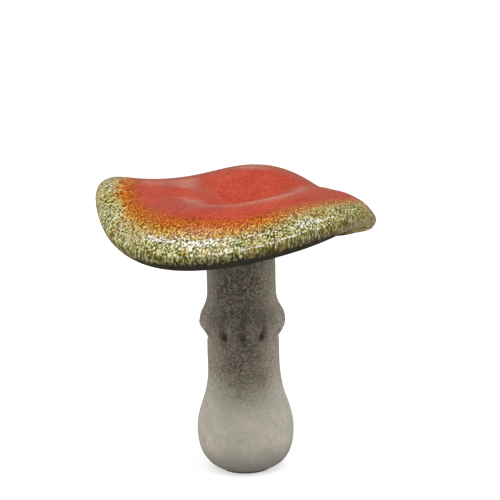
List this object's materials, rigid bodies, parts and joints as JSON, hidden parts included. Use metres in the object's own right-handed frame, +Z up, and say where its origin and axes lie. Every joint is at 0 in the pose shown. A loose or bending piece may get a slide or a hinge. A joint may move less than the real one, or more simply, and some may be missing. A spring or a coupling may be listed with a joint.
{
  "type": "mushroom ornament",
  "caption": "Free-standing ceramic mushroom: a wide wavy glazed cap with a dished top sits loosely on the spigot of a matte bulbous stem.",
  "frame": {"origin": "on the stem's axis, in the plane of the felt ring's underside that the ornament stands on", "axes": "+Z up along the stem, -Y towards the viewer of the picture, +X to that viewer's right"},
  "size_m": [0.2249, 0.23, 0.2449],
  "materials": {
    "felt": "pressed felt",
    "stem_clay": "matte, unglazed, finely speckled",
    "cork": "pressed cork and rubber",
    "cap_glaze": "gloss, mottled reactive glaze"
  },
  "bodies": {
    "stem": {"stem": "stem_clay", "foot_felt": "felt"},
    "seat_ring": {"cap_seat_ring": "cork"},
    "cap": {"cap": "cap_glaze"}
  },
  "joints": [
    {"name": "cap_turn", "type": "hinge", "parent": "stem", "child": "seat_ring", "pos_m": [0, 0, 0.188], "axis": [0, 0, 1], "continuous": true},
    {"name": "cap_lift", "type": "slide", "parent": "seat_ring", "child": "cap", "axis": [0, 0, 1], "range_m": [0, 0.06]}
  ]
}
